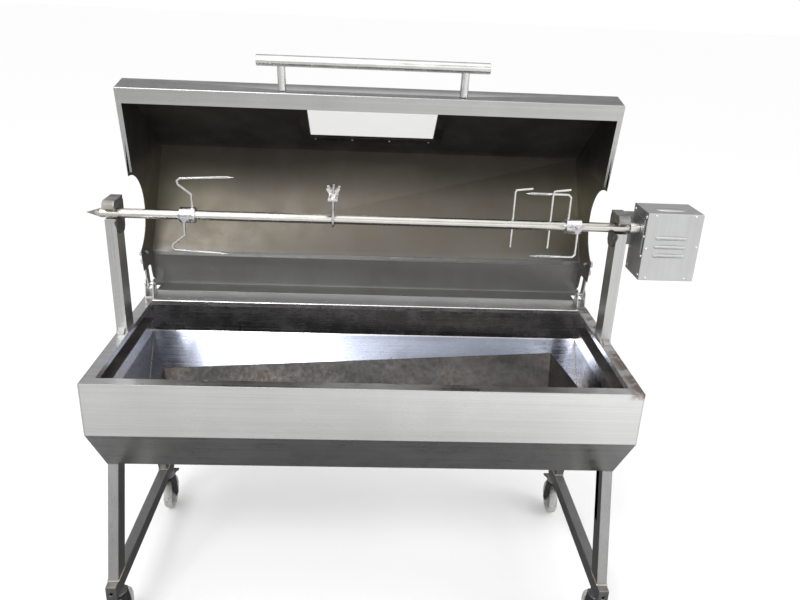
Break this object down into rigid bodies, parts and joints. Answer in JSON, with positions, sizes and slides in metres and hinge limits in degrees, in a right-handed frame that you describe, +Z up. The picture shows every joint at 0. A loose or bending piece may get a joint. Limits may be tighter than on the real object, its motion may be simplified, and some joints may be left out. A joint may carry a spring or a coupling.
{
  "type": "rotisserie spit roaster",
  "caption": "Hooded stainless trough roaster on castors, a motor-driven spit held on posts above a charcoal pan, the hood hinged open at the back.",
  "frame": {"origin": "on the floor, under the middle of the trough in length and width", "axes": "+X along the spit towards the motor, +Y from the front to the hinged back, +Z up"},
  "size_m": [1.405, 0.726, 1.3513],
  "materials": {
    "brushed": "brushed stainless sheet and tube",
    "polished": "polished stainless bar",
    "sooted": "heat-darkened steel",
    "dark": "dark satin steel",
    "zinc": "zinc-plated steel fixings",
    "wheel": "grey moulded castor wheel",
    "plastic": "black plastic",
    "glass": "heat-proof glass",
    "pan": "stained, ashy steel pan",
    "brass": "brass gear and bushes"
  },
  "bodies": {
    "base": {"cable_gland": "plastic", "castor_flange_fl": "zinc", "castor_flange_fr": "zinc", "castor_flange_rl": "zinc", "castor_flange_rr": "zinc", "cradle_left": "dark", "cradle_right": "dark", "frame_bolt_fl": "zinc", "frame_bolt_fr": "zinc", "frame_bolt_rl": "zinc", "frame_bolt_rr": "zinc", "gear_plates": "zinc", "hinge_bracket_left": "brushed", "hinge_bracket_right": "brushed", "ledge_left": "sooted", "ledge_right": "sooted", "motor_bracket": "dark", "motor_case": "zinc", "motor_cover": "brushed", "motor_side_plate": "brushed", "output_bush_far": "brass", "output_bush_near": "brass", "side_frame_left": "brushed", "side_frame_right": "brushed", "spit_post_left": "brushed", "spit_post_right": "brushed", "trough": "brushed"},
    "hood": {"arm_knob_left": "zinc", "arm_knob_right": "zinc", "handle_bar": "polished", "handle_stand_left": "polished", "handle_stand_right": "polished", "hinge_arm_left": "brushed", "hinge_arm_right": "brushed", "hood": "brushed", "window_frame": "sooted", "window_glass": "glass"},
    "pan": {"charcoal_pan": "pan"},
    "spit": {"skewer": "polished", "brace_u_bolt": "zinc", "brace_bar": "polished"},
    "fork_left": {"fork_left": "polished", "fork_screw_left": "zinc"},
    "fork_right": {"fork_right": "polished", "fork_screw_right": "zinc"},
    "leg_pin_1": {"leg_pin_1": "polished"},
    "leg_pin_2": {"leg_pin_2": "polished"},
    "output": {"output_shaft": "polished"},
    "middle": {"middle_gear": "brass"},
    "rotor": {"motor_rotor": "zinc"},
    "castor_fl": {"castor_fork_fl": "dark"},
    "wheel_fl": {"castor_wheel_fl": "wheel"},
    "castor_fr": {"castor_fork_fr": "dark"},
    "wheel_fr": {"castor_wheel_fr": "wheel"},
    "castor_rl": {"castor_fork_rl": "dark"},
    "wheel_rl": {"castor_wheel_rl": "wheel"},
    "castor_rr": {"castor_fork_rr": "dark"},
    "wheel_rr": {"castor_wheel_rr": "wheel"},
    "pedal_rl": {"brake_pedal_rl": "dark"},
    "pedal_rr": {"brake_pedal_rr": "dark"}
  },
  "joints": [
    {"name": "hood_hinge", "type": "hinge", "parent": "base", "child": "hood", "pos_m": [0, 0.228, 0.7444], "axis": [1, 0, 0], "range_deg": [0, 14]},
    {"name": "pan_lift", "type": "slide", "parent": "base", "child": "pan", "axis": [0, 0, 1], "range_m": [0, 0.12]},
    {"name": "spit_spin", "type": "hinge", "parent": "base", "child": "spit", "pos_m": [0, 0, 1.002], "axis": [1, 0, 0], "continuous": true},
    {"name": "fork_left_slide", "type": "slide", "parent": "spit", "child": "fork_left", "axis": [1, 0, 0], "range_m": [-0.1, 0.18]},
    {"name": "fork_right_slide", "type": "slide", "parent": "spit", "child": "fork_right", "axis": [1, 0, 0], "range_m": [-0.025, 0.06]},
    {"name": "leg_pin_1_slide", "type": "slide", "parent": "spit", "child": "leg_pin_1", "axis": [0, 0, 1], "range_m": [0, 0.066]},
    {"name": "leg_pin_2_slide", "type": "slide", "parent": "spit", "child": "leg_pin_2", "axis": [0, 0, 1], "range_m": [0, 0.066]},
    {"name": "output_spin", "type": "hinge", "parent": "base", "child": "output", "pos_m": [0.66, 0, 1.002], "axis": [1, 0, 0], "continuous": true},
    {"name": "middle_spin", "type": "hinge", "parent": "base", "child": "middle", "pos_m": [0.66, 0, 0.963], "axis": [1, 0, 0], "continuous": true},
    {"name": "rotor_spin", "type": "hinge", "parent": "base", "child": "rotor", "pos_m": [0.7, 0, 0.93], "axis": [1, 0, 0], "continuous": true},
    {"name": "swivel_fl", "type": "hinge", "parent": "base", "child": "castor_fl", "pos_m": [-0.5875, -0.236, 0.1251], "axis": [0, 0, 1], "continuous": true},
    {"name": "roll_fl", "type": "hinge", "parent": "castor_fl", "child": "wheel_fl", "pos_m": [-0.5875, -0.21, 0.05], "axis": [1, 0, 0], "continuous": true},
    {"name": "swivel_fr", "type": "hinge", "parent": "base", "child": "castor_fr", "pos_m": [0.5875, -0.236, 0.1251], "axis": [0, 0, 1], "continuous": true},
    {"name": "roll_fr", "type": "hinge", "parent": "castor_fr", "child": "wheel_fr", "pos_m": [0.5875, -0.21, 0.05], "axis": [1, 0, 0], "continuous": true},
    {"name": "swivel_rl", "type": "hinge", "parent": "base", "child": "castor_rl", "pos_m": [-0.5875, 0.236, 0.1251], "axis": [0, 0, 1], "continuous": true},
    {"name": "roll_rl", "type": "hinge", "parent": "castor_rl", "child": "wheel_rl", "pos_m": [-0.5875, 0.262, 0.05], "axis": [1, 0, 0], "continuous": true},
    {"name": "brake_rl", "type": "hinge", "parent": "castor_rl", "child": "pedal_rl", "pos_m": [-0.5875, 0.265, 0.106], "axis": [1, 0, 0], "range_deg": [0, 10]},
    {"name": "swivel_rr", "type": "hinge", "parent": "base", "child": "castor_rr", "pos_m": [0.5875, 0.236, 0.1251], "axis": [0, 0, 1], "continuous": true},
    {"name": "roll_rr", "type": "hinge", "parent": "castor_rr", "child": "wheel_rr", "pos_m": [0.5875, 0.262, 0.05], "axis": [1, 0, 0], "continuous": true},
    {"name": "brake_rr", "type": "hinge", "parent": "castor_rr", "child": "pedal_rr", "pos_m": [0.5875, 0.265, 0.106], "axis": [1, 0, 0], "range_deg": [0, 10]}
  ],
  "couplings": [
    {"joint": "output_spin", "follows": "spit_spin", "ratio": 1},
    {"joint": "middle_spin", "follows": "spit_spin", "ratio": -3.3333},
    {"joint": "rotor_spin", "follows": "spit_spin", "ratio": 8.8889}
  ]
}
